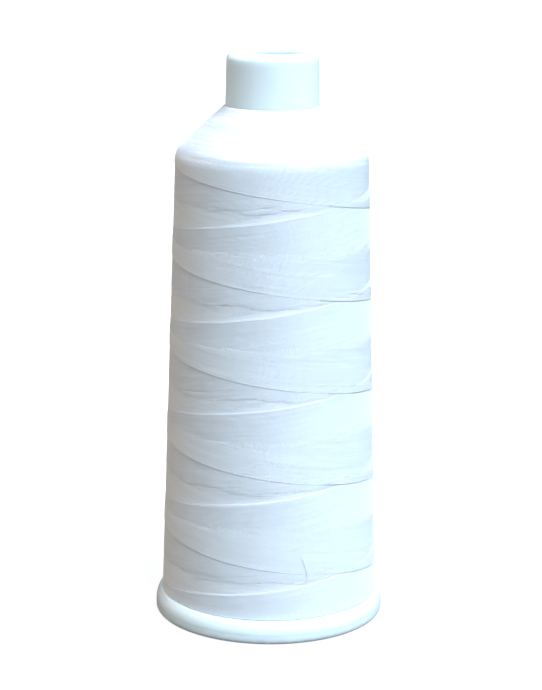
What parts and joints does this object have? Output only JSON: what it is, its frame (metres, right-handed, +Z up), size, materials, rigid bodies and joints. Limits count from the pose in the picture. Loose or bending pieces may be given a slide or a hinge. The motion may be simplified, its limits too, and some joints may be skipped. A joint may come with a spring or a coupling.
{
  "type": "cone of sewing thread",
  "caption": "Tall tapered cone of white sewing thread, cross-wound with a conical shoulder, on a flanged plastic spool with an open neck.",
  "frame": {"origin": "middle of the base, on the surface that the cone stands on", "axes": "+Z up the spool's axis towards the open neck, -Y towards the front, +X to the right seen from the front"},
  "size_m": [0.0672, 0.0672, 0.165],
  "materials": {
    "spool_plastic": "smooth white moulded plastic with a soft sheen",
    "thread": "fine white filament thread in crossing bands, with a silky sheen"
  },
  "bodies": {
    "root": {"spool": "spool_plastic", "winding": "thread"}
  },
  "joints": []
}
